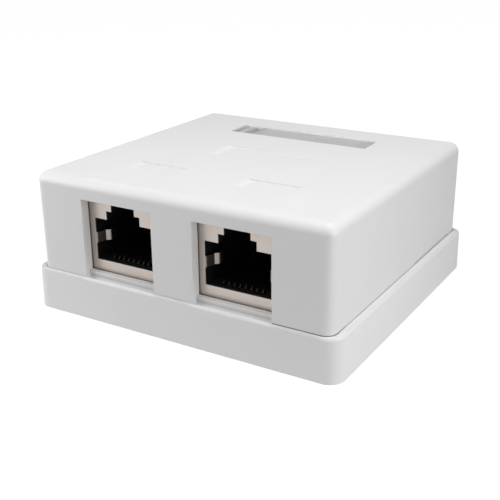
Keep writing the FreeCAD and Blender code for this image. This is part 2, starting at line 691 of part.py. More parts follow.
def jack_housing():
    """The moulded socket inside the shield, with the plug cavity and the comb at its front."""
    half = JACK_WIDTH / 2 - SHEET - JACK_FIT
    front = JACK_FACE_Y + SHEET
    back = JACK_REAR_Y - SHEET - JACK_FIT
    block = box(-half, half, front, back, BOARD_TOP, JACK_TOP - SHEET - JACK_FIT)
    catch = WINDOW_SIDE / 2 - BUMP_HEIGHT
    catch_y = WINDOW_Y + WINDOW_SIDE / 2
    catch_z = FINGER_Z + WINDOW_SIDE / 2
    reach = half + BUMP_HEIGHT
    catches = box(-reach, reach, catch_y - catch, catch_y + catch, catch_z - catch, catch_z + catch)

    pocket = CARRIER_POCKET / 2
    upright = CARRIER_UPRIGHT / 2
    groove = PLUG_WIDTH / 2 + FINGER_GROOVE
    groove_end = front + FINGER_RUN + FINGER_FOLD + FINGER_TAIL + FINGER_GROOVE
    groove_half = FINGER_HEIGHT / 2 + FINGER_GAP
    cuts = [
        extrude_xz(plug_outline(), front - CUT, SOCKET_END_Y),
        box(-pocket, pocket, COMB_FRONT_Y, SOCKET_END_Y, BOARD_TOP - CUT, WIRE_TOP),
        box(-upright, upright, SOCKET_END_Y, back + CUT, BOARD_TOP - CUT, CARRIER_TOP),
        box(-groove, groove, front - CUT, groove_end, FINGER_Z - groove_half, FINGER_Z + groove_half),
    ]
    cuts += wire_slots(COMB_FRONT_Y, WIRE_SLOT_END_Y, WIRE_TOP - BITE, SOCKET_FLOOR_Z + BITE)
    peg = cylinder(PEG_R, PEG_SPACING / 2, PEG_Y, BOARD_TOP - PEG_DROP, BOARD_TOP + BITE)
    return block.fuse(catches).cut(cuts).fuse([peg, mirrored_x(peg)]).removeSplitter()


def pin_y(index):
    """How far back a way's solder pin stands: the ways alternate between two rows."""
    return JACK_FACE_Y + PIN_ROW_BACK + (index % 2) * PIN_ROW_STEP


def contact_carrier():
    """The moulded carrier behind the socket: a plate under the wires and a comb for their free ends."""
    upright = CARRIER_UPRIGHT / 2 - JACK_FIT
    pocket = CARRIER_POCKET / 2 - JACK_FIT
    plate_top = BOARD_TOP + CARRIER_PLATE
    back = JACK_REAR_Y - SHEET - 2 * JACK_FIT
    front = SOCKET_END_Y + JACK_FIT
    block = box(-upright, upright, front, back, BOARD_TOP, CARRIER_TOP - JACK_FIT)
    plate = box(-pocket, pocket, COMB_FRONT_Y + JACK_FIT, front + BITE, BOARD_TOP, plate_top)
    comb_top = SOCKET_FLOOR_Z + WIRE_TIP_RISE + COMB_ABOVE_TIP
    cuts = wire_slots(front - CUT, front + CARRIER_COMB, SOCKET_FLOOR_Z, comb_top)
    half = WIRE_SLOT / 2
    for index, x in enumerate(way_places(WAYS, WAY_PITCH)):
        pin = pin_y(index)
        cuts.append(box(x - half, x + half, front - CUT, pin + half, plate_top, WIRE_TOP))
        cuts.append(box(x - half, x + half, pin - half, pin + half, BOARD_TOP - CUT, WIRE_TOP))
    return block.fuse(plate).cut(cuts).removeSplitter()


def contact_wire(index, x):
    """One spring wire: solder pin, run under the socket floor, front bend and sloping free end."""
    path = [
        (pin_y(index), BOARD_BOTTOM - PIN_DROP),
        (pin_y(index), WIRE_Z),
        (WIRE_FRONT_Y, WIRE_Z),
        (WIRE_FRONT_Y, WIRE_Z + WIRE_LOOP_RISE),
        (SOCKET_END_Y + CARRIER_COMB / 2, SOCKET_FLOOR_Z + WIRE_TIP_RISE),
    ]
    outline = strip_outline(path, [WIRE_THICK, WIRE_BEND_R, WIRE_BEND_R], WIRE_THICK)
    return extrude_yz(outline, x - WIRE_WIDTH / 2, x + WIRE_WIDTH / 2)


def jack_contacts():
    """The eight spring wires of one jack, as separate solids."""
    return Part.makeCompound([contact_wire(i, x) for i, x in enumerate(way_places(WAYS, WAY_PITCH))])


# ---------------------------------------------------------------- terminal blocks, drawn about x = 0, y = 0
def row_places():
    """The Y places of the two rows of ways."""
    offset = (TERMINAL_ROW + TERMINAL_TROUGH) / 2
    return [-offset, offset]


def comb_outline():
    """One row of towers as (x, z) points: pointed towers with a tapering lead slot between them."""
    half = TERMINAL_WIDTH / 2
    top = BOARD_TOP + TERMINAL_HEIGHT
    shoulder = top - TERMINAL_SHOULDER
    bottom = shoulder - LEAD_SLOT_DEPTH
    points = [(half, BOARD_TOP), (half, shoulder), (half - TERMINAL_END, top)]
    for x in reversed(way_places(TERMINAL_WAYS, TERMINAL_PITCH)):
        points += [
            (x + LEAD_SLOT_TOP / 2, shoulder),
            (x + LEAD_SLOT_BOTTOM / 2, bottom),
            (x - LEAD_SLOT_BOTTOM / 2, bottom),
            (x - LEAD_SLOT_TOP / 2, shoulder),
            (x - TERMINAL_PITCH / 2, top),
        ]
    points[-1] = (-half + TERMINAL_END, top)
    return points + [(-half, shoulder), (-half, BOARD_TOP)]


def terminal_block():
    """The moulded block of two rows of towers, slit for the blades."""
    rows = [extrude_xz(comb_outline(), y - TERMINAL_ROW / 2, y + TERMINAL_ROW / 2) for y in row_places()]
    body = pad(TERMINAL_WIDTH, TERMINAL_DEPTH, 0, 0, BOARD_TOP, BOARD_TOP + TERMINAL_BODY)
    cuts = []
    seat = BOARD_TOP + BLADE_SEAT
    slit = BLADE_THICK + 2 * BLADE_GAP
    for y in row_places():
        for x in way_places(TERMINAL_WAYS, TERMINAL_PITCH):
            cuts.append(pad(BLADE_WIDTH + 2 * BLADE_GAP, slit, x, y, seat, BOARD_TOP + TERMINAL_HEIGHT + CUT))
            cuts.append(pad(BLADE_TAIL + 2 * BLADE_GAP, slit, x, y, BOARD_TOP - CUT, seat + BITE))
    return rows[0].fuse([rows[1], body]).cut(cuts).removeSplitter()


def blade(x, y):
    """One forked blade: a slit with a tapered mouth that cuts through a wire's insulation."""
    seat = BOARD_TOP + BLADE_SEAT
    top = BOARD_TOP + TERMINAL_HEIGHT - BLADE_BELOW_TOP
    half = BLADE_WIDTH / 2
    slit = BLADE_SLIT / 2
    tail = BLADE_TAIL / 2
    right = [
        (tail, BOARD_BOTTOM - BLADE_TAIL_DROP),
        (tail, seat),
        (half, seat),
        (half, top - BLADE_SHOULDER),
        (half - BLADE_SHOULDER, top),
        (BLADE_MOUTH / 2, top),
        (slit, top - BLADE_LEAD_IN),
        (slit, top - BLADE_SLIT_DEPTH),
    ]
    outline = [(x + u, z) for u, z in right] + [(x - u, z) for u, z in reversed(right)]
    return extrude_xz(outline, y - BLADE_THICK / 2, y + BLADE_THICK / 2)


def terminal_contacts():
    """The forked blades of one terminal block, as separate solids."""
    ways = way_places(TERMINAL_WAYS, TERMINAL_PITCH)
    return Part.makeCompound([blade(x, y) for y in row_places() for x in ways])


# ---------------------------------------------------------------- board and fixings
def board_holes():
    """Everything that passes through the board, as cutting solids."""
    z0 = BOARD_BOTTOM - CUT
    z1 = BOARD_TOP + CUT
    pin_r = math.hypot(WIRE_WIDTH, WIRE_THICK) / 2 + BOARD_HOLE_GAP
    tail_r = math.hypot(BLADE_TAIL, BLADE_THICK) / 2 + BOARD_HOLE_GAP
    screw_r = SCREW_SHANK_R + SCREW_HOLE_GAP
    holes = [small_hole(screw_r, SHANK_SIDES, x, y, z0, z1) for x, y in screw_places()]
    for side in (-1, 1):
        jack_x = side * PORT_OFFSET
        for index, x in enumerate(way_places(WAYS, WAY_PITCH)):
            holes.append(small_hole(pin_r, PIN_HOLE_SIDES, jack_x + x, pin_y(index), z0, z1))
        for hand in (-1, 1):
            peg_x = jack_x + hand * PEG_SPACING / 2
            holes.append(small_hole(PEG_R + BOARD_HOLE_GAP, SHANK_SIDES, peg_x, PEG_Y, z0, z1))
            tab_x = jack_x + hand * (JACK_WIDTH - SHEET) / 2
            width = SHEET + 2 * BOARD_HOLE_GAP
            length = TAB_LENGTH + 2 * BOARD_HOLE_GAP
            holes.append(pad(width, length, tab_x, TAB_Y + TAB_LENGTH / 2, z0, z1))
        for y in row_places():
            for x in way_places(TERMINAL_WAYS, TERMINAL_PITCH):
                tail_x = side * TERMINAL_OFFSET + x
                holes.append(small_hole(tail_r, PIN_HOLE_SIDES, tail_x, TERMINAL_Y + y, z0, z1))
    return holes


def circuit_board():
    """The board that carries the jacks and the terminal blocks."""
    depth = BOARD_REAR_Y - BOARD_FRONT_Y
    middle = (BOARD_REAR_Y + BOARD_FRONT_Y) / 2
    plate = rounded_prism(BOARD_WIDTH, depth, BOARD_CORNER_R, BOARD_BOTTOM, BOARD_TOP, 0, middle)
    return plate.cut(board_holes())


def ground_bridge():
    """The U strip under the front board screw, whose bowed legs reach both shields."""
    reach = PORT_OFFSET - JACK_WIDTH / 2 - BRIDGE_GAP - BRIDGE_SHEET / 2
    low = BOARD_TOP + BRIDGE_SHEET / 2
    right = [
        (reach - BRIDGE_BOW, low),
        (reach, low + BRIDGE_KNEE_RISE),
        (reach - BRIDGE_BOW, low + BRIDGE_WAIST_RISE),
        (reach, low + BRIDGE_RISE),
    ]
    path = [(-x, z) for x, z in reversed(right)] + right
    radii = [BRIDGE_BEND_R, BRIDGE_BEND_R, BRIDGE_SHEET, BRIDGE_SHEET, BRIDGE_BEND_R, BRIDGE_BEND_R]
    y0 = FRONT_SCREW_Y - BRIDGE_LENGTH / 2
    strip = extrude_xz(strip_outline(path, radii, BRIDGE_SHEET), y0, y0 + BRIDGE_LENGTH)
    hole_r = SCREW_SHANK_R + SCREW_HOLE_GAP
    return strip.cut(small_hole(hole_r, SHANK_SIDES, 0, FRONT_SCREW_Y, BOARD_TOP - CUT, BOARD_TOP + CUT))


def plain_screw(shank_r, head_r, head_height, length, x, y, seat):
    """A screw without its thread, whose head rests at height seat."""
    shank = few_sided(shank_r, SHANK_SIDES, x, y, seat - length, seat + BITE)
    return cylinder(head_r, x, y, seat, seat + head_height).fuse(shank).removeSplitter()


def board_screws():
    """The three screws that hold the board, as separate solids."""
    screws = []
    for index, (x, y) in enumerate(screw_places()):
        seat = BOARD_TOP + (BRIDGE_SHEET if index == 0 else 0)
        screws.append(plain_screw(SCREW_SHANK_R, SCREW_HEAD_R, SCREW_HEAD_HEIGHT, SCREW_LENGTH, x, y, seat))
    return Part.makeCompound(screws)


def cable_clamp():
    """The arched bridge that holds the cable down on the saddle."""
    inner_r = CABLE_R + CABLE_GAP
    outer_r = inner_r + CLAMP_THICK
    end = CLAMP_SCREW_SPACING / 2 + CLAMP_END
    y0 = CABLE_Y - CLAMP_DEPTH / 2
    y1 = CABLE_Y + CLAMP_DEPTH / 2
    along = FreeCAD.Vector(0, 1, 0)
    arch = Part.makeCylinder(outer_r, CLAMP_DEPTH, FreeCAD.Vector(0, y0, CABLE_Z), along)
    feet = box(-end, end, y0, y1, CLAMP_BOSS_TOP, CLAMP_BOSS_TOP + CLAMP_THICK)
    hole_r = CLAMP_SCREW_SHANK_R + SCREW_HOLE_GAP
    high = CLAMP_BOSS_TOP + CLAMP_THICK + CUT
    cuts = [small_hole(hole_r, SHANK_SIDES, x, y, CLAMP_BOSS_TOP - CUT, high) for x, y in clamp_places()]
    before = FreeCAD.Vector(0, y0 - CUT, CABLE_Z)
    cuts.append(Part.makeCylinder(inner_r, CLAMP_DEPTH + 2 * CUT, before, along))
    cuts.append(box(-inner_r, inner_r, y0 - CUT, y1 + CUT, 0, CABLE_Z))
    cuts.append(box(-end, end, y0 - CUT, y1 + CUT, 0, CLAMP_BOSS_TOP))
    return arch.fuse(feet).cut(cuts).removeSplitter()


def clamp_screws():
    """The two screws of the cable clamp, as separate solids."""
    seat = CLAMP_BOSS_TOP + CLAMP_THICK
    size = (CLAMP_SCREW_SHANK_R, CLAMP_SCREW_HEAD_R, CLAMP_SCREW_HEAD_HEIGHT, CLAMP_SCREW_LENGTH)
    return Part.makeCompound([plain_screw(*size, x, y, seat) for x, y in clamp_places()])


# ---------------------------------------------------------------- writing the parts
def all_parts():
    """Every piece by name, in place."""
    parts = {
        "base_tray": base_tray(),
        "cover": cover(),
        "label_window": label_window(),
        "label_card": label_card(),
        "circuit_board": circuit_board(),
        "ground_bridge": ground_bridge(),
        "board_screws": board_screws(),
        "cable_clamp": cable_clamp(),
        "clamp_screws": clamp_screws(),
    }
    jack_pieces = {
        "jack_shield": jack_shield(),
        "jack_housing": jack_housing(),
        "contact_carrier": contact_carrier(),
        "jack_contacts": jack_contacts(),
    }
    terminal_pieces = {"terminal_block": terminal_block(), "terminal_contacts": terminal_contacts()}
    for side, name in ((-1, "left"), (1, "right")):
        for piece, shape in jack_pieces.items():
            parts[f"{piece}_{name}"] = moved(shape, side * PORT_OFFSET)
        for piece, shape in terminal_pieces.items():
            parts[f"{piece}_{name}"] = moved(shape, side * TERMINAL_OFFSET, TERMINAL_Y)
    return parts


os.makedirs("parts", exist_ok=True)
for part_name, part_shape in all_parts().items():
    part_shape.exportStep(os.path.join("parts", part_name + ".step"))
    print(part_name, len(part_shape.Solids), "solids", round(part_shape.Volume, 1), part_shape.isValid())
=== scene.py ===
"""Looks for a two-port shielded surface mount jack box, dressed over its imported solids."""
import logging
import math
from dataclasses import dataclass
from enum import Enum
from typing import Sequence, Union

import bmesh
import bpy
import numpy as np
from mathutils import Matrix, Vector


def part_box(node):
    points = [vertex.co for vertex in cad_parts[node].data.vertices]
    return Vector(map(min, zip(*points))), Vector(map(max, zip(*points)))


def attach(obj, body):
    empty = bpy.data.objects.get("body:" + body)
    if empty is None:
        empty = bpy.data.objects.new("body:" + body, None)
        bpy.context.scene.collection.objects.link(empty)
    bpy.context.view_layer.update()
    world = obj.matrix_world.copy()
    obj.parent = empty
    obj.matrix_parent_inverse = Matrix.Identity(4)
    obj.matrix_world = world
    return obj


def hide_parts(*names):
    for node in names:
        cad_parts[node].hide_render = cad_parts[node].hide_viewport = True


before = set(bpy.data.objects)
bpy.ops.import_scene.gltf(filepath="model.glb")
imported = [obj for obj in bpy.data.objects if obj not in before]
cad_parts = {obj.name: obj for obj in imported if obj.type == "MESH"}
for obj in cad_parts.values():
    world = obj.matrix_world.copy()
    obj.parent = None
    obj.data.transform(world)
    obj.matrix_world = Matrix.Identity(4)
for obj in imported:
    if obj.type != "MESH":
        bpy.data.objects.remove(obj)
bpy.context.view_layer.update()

LOG = logging.getLogger("jack_box")
MM = 0.001
PORT_X = 10.88
EDGE_SAMPLES = 6
DOME_ROWS = 5
SHARP_DEGREES = 40.0
WHITE = (1.0, 1.0, 1.0, 1.0)

Colour = tuple[float, float, float]
Point = tuple[float, float, float]
Number = Union[int, float]
Owner = Union[bpy.types.Material, bpy.types.World]


class Side(Enum):
    """The two hands of a pair of pieces, by the end of their nodes' names."""

    LEFT = "left"
    RIGHT = "right"


# ---------------------------------------------------------------- shader bench
class Signal:
    """One output socket that takes part in written arithmetic, each step adding a Math node."""

    def __init__(self, bench: "Bench", socket: bpy.types.NodeSocket) -> None:
        """Keeps the socket with the bench that owns it.

        Args:
            bench: The bench whose node tree the socket is in.
            socket: The output socket.
        """
        self.bench = bench
        self.socket = socket

    def _step(self, operation: str, first: "Level", second: "Level") -> "Signal":
        """One Math node.

        Args:
            operation: The Math node's operation.
            first: Its first value.
            second: Its second value.

        Returns:
            The node's result.
        """
        return self.bench.node("ShaderNodeMath", {"operation": operation}, {0: first, 1: second})

    def __add__(self, other: "Level") -> "Signal":
        """This plus a value."""
        return self._step("ADD", self, other)

    __radd__ = __add__

    def __sub__(self, other: "Level") -> "Signal":
        """This minus a value."""
        return self._step("SUBTRACT", self, other)

    def __rsub__(self, other: "Level") -> "Signal":
        """A value minus this."""
        return self._step("SUBTRACT", other, self)

    def __mul__(self, other: "Level") -> "Signal":
        """This times a value."""
        return self._step("MULTIPLY", self, other)

    __rmul__ = __mul__

    def __truediv__(self, other: "Level") -> "Signal":
        """This over a value."""
        return self._step("DIVIDE", self, other)

    def __rtruediv__(self, other: "Level") -> "Signal":
        """A value over this."""
        return self._step("DIVIDE", other, self)

    def above(self, other: "Level") -> "Signal":
        """One where this is more than a value, and zero elsewhere."""
        return self._step("GREATER_THAN", self, other)

    def below(self, other: "Level") -> "Signal":
        """One where this is less than a value, and zero elsewhere."""
        return self._step("LESS_THAN", self, other)

    def larger(self, other: "Level") -> "Signal":
        """The larger of this and a value."""
        return self._step("MAXIMUM", self, other)

    def smaller(self, other: "Level") -> "Signal":
        """The smaller of this and a value."""
        return self._step("MINIMUM", self, other)

    def held(self) -> "Signal":
        """This, kept between 0 and 1."""
        return self.larger(0.0).smaller(1.0)

    def size(self) -> "Signal":
        """This without its sign."""
        return self._step("ABSOLUTE", self, 0.0)


Level = Union[Signal, Number]


class Bench:
    """The node tree of a material or a world.

    It is filled through one method for nodes, and through Signal for arithmetic.
    """

    def __init__(self, owner: Owner) -> None:
        """Empties the tree.

        Args:
            owner: The material or world.
        """
        owner.use_nodes = True
        self.owner = owner
        self.tree = owner.node_tree
        self.tree.nodes.clear()

    @classmethod
    def material(cls, name: str) -> "Bench":
        """A bench with a new material of that name."""
        return cls(bpy.data.materials.new(name))

    def node(
        self, kind: str, settings: dict, inputs: dict, output: Union[int, str, None] = 0
    ) -> Signal:
        """Adds one node, its settings first and then its sockets.

        Args:
            kind: The node's type.
            settings: Attributes of the node; "stops" holds a ramp's (place, colour) pairs.
            inputs: Values or signals by socket name or number.
            output: The output socket that is wanted, or None for a node that ends the tree.

        Returns:
            That output as a signal.
        """
        made = self.tree.nodes.new(kind)
        for key, value in settings.items():
            if key == "stops":
                ramp = made.color_ramp.elements
                while len(ramp) < len(value):
                    ramp.new(0.5)
                for element, (place, colour) in zip(ramp, value):
                    element.position = place
                    element.color = (*colour, 1.0)
            else:
                setattr(made, key, value)
        for key, value in inputs.items():
            if isinstance(value, Signal):
                self.tree.links.new(value.socket, made.inputs[key])
            else:
                made.inputs[key].default_value = value
        return Signal(self, None if output is None else made.outputs[output])

    def place(self) -> Signal:
        """The point on the piece, in millimetres."""
        scaled = {0: self.node("ShaderNodeTexCoord", {}, {}, "Object"), "Scale": 1.0 / MM}
        return self.node("ShaderNodeVectorMath", {"operation": "SCALE"}, scaled)

    def stretched(self, where: Signal, factors: Point) -> Signal:
        """A point with each of its parts times its own factor."""
        return self.node("ShaderNodeVectorMath", {"operation": "MULTIPLY"}, {0: where, 1: factors})

    def parts(self, vector: Signal) -> tuple[Signal, Signal, Signal]:
        """The X, Y and Z of a vector."""
        split = self.node("ShaderNodeSeparateXYZ", {}, {0: vector})
        return tuple(Signal(self, socket) for socket in split.socket.node.outputs)

    def seen_directly(self) -> Signal:
        """Tells rays that are seen from light that bounces.

        Returns:
            One for rays from the eye, from gloss or through glass, and zero for others.
        """
        rays = self.node("ShaderNodeLightPath", {}, {}, "Is Camera Ray")
        outputs = rays.socket.node.outputs
        for kind in ("Is Glossy Ray", "Is Transmission Ray"):
            rays = rays.larger(Signal(self, outputs[kind]))
        return rays

    def noise(self, where: Signal, per_mm: float, detail: float) -> Signal:
        """Soft noise between 0 and 1.

        Args:
            where: The point in millimetres.
            per_mm: Cells in a millimetre.
            detail: Octaves.

        Returns:
            The noise.
        """
        inputs = {"Vector": where, "Scale": per_mm, "Detail": detail}
        return self.node("ShaderNodeTexNoise", {}, inputs)

    def blend(
        self, share: Level, first: Union[Signal, Colour], second: Union[Signal, Colour]
    ) -> Signal:
        """A colour between two others.

        Args:
            share: How much of the second.
            first: The colour at 0.
            second: The colour at 1.

        Returns:
            The mixed colour.
        """
        first = first if isinstance(first, Signal) else (*first, 1.0)
        second = second if isinstance(second, Signal) else (*second, 1.0)
        inputs = {0: share, 6: first, 7: second}
        return self.node("ShaderNodeMix", {"data_type": "RGBA"}, inputs, 2)

    def relief(
        self, height: Signal, depth_mm: float, under: Union[Signal, None] = None
    ) -> Signal:
        """A bumped normal.

        Args:
            height: The relief between 0 and 1.
            depth_mm: Its depth.
            under: The normal that the relief lies on, where it isn't the surface's own.

        Returns:
            The normal.
        """
        inputs = {"Height": height, "Distance": depth_mm * MM, "Strength": 1.0}
        if under is not None:
            inputs["Normal"] = under
        return self.node("ShaderNodeBump", {}, inputs)

    def rounded(self, radius_mm: float) -> Signal:
        """The normal of a surface whose sharp edges seem rounded to that radius."""
        return self.node("ShaderNodeBevel", {"samples": EDGE_SAMPLES}, {"Radius": radius_mm * MM})

    def turned(self, normal: Signal, lean: tuple[Level, Level, Level]) -> Signal:
        """A normal that leans another way.

        Args:
            normal: The normal.
            lean: What is added to each of its parts.

        Returns:
            The new normal, of length one.
        """
        pairs = enumerate(zip(self.parts(normal), lean))
        leaning = self.node(
            "ShaderNodeCombineXYZ", {}, {axis: part + more for axis, (part, more) in pairs}
        )
        return self.node("ShaderNodeVectorMath", {"operation": "NORMALIZE"}, {0: leaning})

    def finish(self, inputs: dict) -> bpy.types.Material:
        """Ends the tree in a Principled shader with those sockets."""
        return self.surface(self.node("ShaderNodeBsdfPrincipled", {}, inputs))

    def surface(self, shader: Signal) -> Owner:
        """Ends the tree in any shader.

        Args:
            shader: The surface shader.

        Returns:
            The finished material or world.
        """
        of_world = isinstance(self.owner, bpy.types.World)
        end = "ShaderNodeOutputWorld" if of_world else "ShaderNodeOutputMaterial"
        self.node(end, {}, {"Surface": shader}, None)
        return self.owner


def toned(colour: Colour, share: float) -> Colour:
    """A colour at a share of its brightness."""
    return tuple(share * part for part in colour)


# ---------------------------------------------------------------- finishes
@dataclass(frozen=True)
class Moulding:
    """Moulded plastic with a fine eroded grain, slight shrinkage waves and softened edges."""

    name: str
    colour: Colour
    roughness: float
    gloss_spread: float = 0.1
    grain_per_mm: float = 7.0
    grain_mm: float = 0.004
    wave_per_mm: float = 0.09
    wave_mm: float = 0.01
    wave_tone: float = 0.965
    round_mm: float = 0.07
    specular: float = 0.45

    def edges(self, bench: Bench, where: Signal) -> Signal:
        """The surface's normal with its sharp edges softened.

        Args:
            bench: The material's bench.
            where: The point in millimetres, which the plain plastic doesn't need.

        Returns:
            The normal.
        """
        return bench.rounded(self.round_mm)

    def painted_light_and_shade(self, bench: Bench, where: Signal, colour: Signal) -> Signal:
        """The colour with painted light and shade in places: none on the plain plastic.

        Args:
            bench: The material's bench, not used by the plain plastic.
            where: The point in millimetres, not used by the plain plastic.
            colour: The plastic's colour.

        Returns:
            The colour that is seen.
        """
        return colour

    def make(self) -> bpy.types.Material:
        """Makes the plastic.

        Returns:
            The finished material.
        """
        bench = Bench.material(self.name)
        where = bench.place()
        wave = bench.noise(where, self.wave_per_mm, detail=1.0)
        grain = bench.noise(where, self.grain_per_mm, detail=3.0)
        height = grain * (self.grain_mm / self.wave_mm) + wave
        plain = bench.blend(wave, toned(self.colour, self.wave_tone), self.colour)
        return bench.finish({
            "Base Color": self.painted_light_and_shade(bench, where, plain),
            "Roughness": self.roughness - 0.5 * self.gloss_spread + self.gloss_spread * grain,
            "Specular IOR Level": self.specular,
            "Normal": bench.relief(height, self.wave_mm, self.edges(bench, where)),
        })


@dataclass(frozen=True)
class TrayMoulding(Moulding):
    """The tray's plastic, whose rim turns over softly: its normals there lean outwards.

    The rim's rounding starts at rim_mm and is done rim_rise_mm higher. The walls stand out to
    reach_mm along X and Y, and the lean starts turn_mm inside them. Painted shade darkens the front
    ledge away from the ports and up to its right-hand corner, and each sill at its foot and top.
    """

    rim_mm: float = 6.7
    rim_rise_mm: float = 0.65
    lean: float = 0.9
    reach_mm: tuple[float, float] = (29.2, 27.7)
    turn_mm: float = 3.5
    port_x_mm: float = PORT_X
    port_half_mm: float = 6.6
    port_fade_mm: float = 1.4
    corner_x_mm: float = 26.6
    corner_fade_mm: float = 1.4
    ledge_mm: float = 6.85
    ledge_fade_mm: float = 0.3
    # ledge: painted shade on the front ledge beside the ports, where the cover's wall shades it
    ledge: Colour = (0.7, 0.7, 0.7)
    sill_foot_mm: float = 7.32
    sill_clear_mm: float = 8.0
    sill_top_mm: float = 8.25
    sill_back_mm: float = -24.0
    # sill: painted shade on the foot and top of each sill
    sill: Colour = (0.6, 0.6, 0.6)

    def edges(self, bench: Bench, where: Signal) -> Signal:
        """The softened normal, leaning outwards above the start of the rim's rounding.

        Near each wall it leans out square to the wall, and at a corner to both sides.

        Args:
            bench: The material's bench.
            where: The point in millimetres.

        Returns:
            The normal.
        """
        x, y, z = bench.parts(where)
        over = self.lean * z.above(self.rim_mm) * z.below(self.rim_mm + self.rim_rise_mm)
        out = []
        for part, reach in zip((x, y), self.reach_mm):
            near = ((part.size() - (reach - self.turn_mm)) / self.turn_mm).larger(0.0)
            out.append(near * over * part / part.size())
        return bench.turned(bench.rounded(self.round_mm), (out[0], out[1], 0.0))

    def painted_light_and_shade(self, bench: Bench, where: Signal, colour: Signal) -> Signal:
        """The colour, with painted shade on the front ledge beside the ports and on each sill's
        foot and top.

        Args:
            bench: The material's bench.
            where: The point in millimetres.
            colour: The plastic's colour.

        Returns:
            The colour that is seen.
        """
        x, y, z = bench.parts(where)
        from_port = (x.size() - self.port_x_mm).size()
        beside = ((from_port - self.port_half_mm) / self.port_fade_mm).held()
        before_corner = ((self.corner_x_mm - x) / self.corner_fade_mm).held()
        raised = ((z - self.ledge_mm) / self.ledge_fade_mm).held()
        front = y.below(self.turn_mm - self.reach_mm[1])
        # Painted shade on the front ledge beside the ports and up to the right-hand corner.
        colour = bench.blend(beside * raised * front * before_corner, colour, self.ledge)
        rise = (z - self.sill_foot_mm) / (self.sill_clear_mm - self.sill_foot_mm)
        foot = (1.0 - rise).larger(0.0) * z.above(self.sill_foot_mm)
        sill_shade = (foot + z.above(self.sill_top_mm)) * y.below(self.sill_back_mm)
        # Painted shade on the foot and top of each sill.
        return bench.blend(sill_shade, colour, self.sill)


@dataclass(frozen=True)
class Panel:
    """A shallow recess in the top face: its middle and its size, in millimetres."""

    x: float
    y: float
    width: float
    depth: float


@dataclass(frozen=True)
class CoverMoulding(Moulding):
    """The cover's plastic, its shallow recesses' walls eased, with painted shade along its seam.

    The top face is at top_mm, and walls down to eased_mm under it are eased. A panel has a painted
    highlight round ramp_mm from its left end and painted light along its rear wall. Painted shade
    in the seam lies between two heights, right of seam_x_mm, and grows to the front from seam_y_mm.
    """

    panels: tuple[Panel, ...] = ()
    top_mm: float = 24.4
    eased_mm: float = 0.2
    ease: float = 0.9
    wall_tilt: float = 0.5
    ramp_mm: float = 0.6
    ramp_fade_mm: float = 1.1
    # ramp: painted highlight at each panel's left end
    ramp: Colour = (0.88, 0.88, 0.88)
    wall_fade_mm: float = 0.22
    # wall: painted light along each panel's rear wall, softening its shade
    wall: Colour = (0.83, 0.83, 0.83)
    seam_low_mm: float = 7.27
    seam_high_mm: float = 7.46
    seam_x_mm: float = 17.6
    seam_y_mm: float = -21.5
    seam_fade_mm: float = 3.5
    # Share of painted shade in the seam's gap at the front right corner.
    seam_shade: float = 0.55

    def edges(self, bench: Bench, where: Signal) -> Signal:
        """The softened normal, raised on the upright walls just under the top face.

        Args:
            bench: The material's bench.
            where: The point in millimetres.

        Returns:
            The normal.
        """
        soft = bench.rounded(self.round_mm)
        upright = bench.parts(soft)[2].size().below(self.wall_tilt)
        near_top = bench.parts(where)[2].above(self.top_mm - self.eased_mm)
        return bench.turned(soft, (0.0, 0.0, self.ease * upright * near_top))

    def painted_light_and_shade(self, bench: Bench, where: Signal, colour: Signal) -> Signal:
        """The colour, with painted light in each panel and painted shade at the seam's front right
        corner.

        Args:
            bench: The material's bench.
            where: The point in millimetres.
            colour: The plastic's colour.

        Returns:
            The colour that is seen.
        """
        x, y, z = bench.parts(where)
        top = z.above(self.top_mm - self.eased_mm)
        for panel in self.panels:
            colour = self._in_panel(bench, panel, (x, y, top), colour)
        # Painted shade in the seam's gap where the cover stands off the tray, towards the front
        # right.
        seam = z.above(self.seam_low_mm) * z.below(self.seam_high_mm)
        fading = ((self.seam_y_mm - y) / self.seam_fade_mm).held()
        corner = x.above(self.seam_x_mm) * fading
        return bench.blend(seam * corner, colour, toned(self.colour, 1.0 - self.seam_shade))

    def _in_panel(
        self, bench: Bench, panel: Panel, at: tuple[Signal, Signal, Signal], colour: Signal
    ) -> Signal:
        """The colour, with a painted highlight on a panel's left ramp and painted light along its
        rear wall.

        Args:
            bench: The material's bench.
            panel: The panel.
            at: The point's X and Y in millimetres, and one where it is near the top face.
            colour: The colour outside the panel.

        Returns:
            The colour that is seen.
        """
        x, y, top = at
        half_width, half_depth = 0.5 * panel.width, 0.5 * panel.depth
        from_left = x - (panel.x - half_width)
        ramp_highlight = (1.0 - (from_left - self.ramp_mm).size() / self.ramp_fade_mm).larger(0.0)
        across = (y - panel.y).size().below(half_depth) * top
        # Painted highlight on the ramp at the panel's left end.
        colour = bench.blend(across * ramp_highlight, colour, self.ramp)
        wall_light = (1.0 - (y - (panel.y + half_depth)).size() / self.wall_fade_mm).larger(0.0)
        along = (x - panel.x).size().below(half_width) * top
        past_ramp = from_left.above(self.ramp_fade_mm)
        # Painted light along the panel's rear wall.
        return bench.blend(wall_light * along * past_ramp, colour, self.wall)


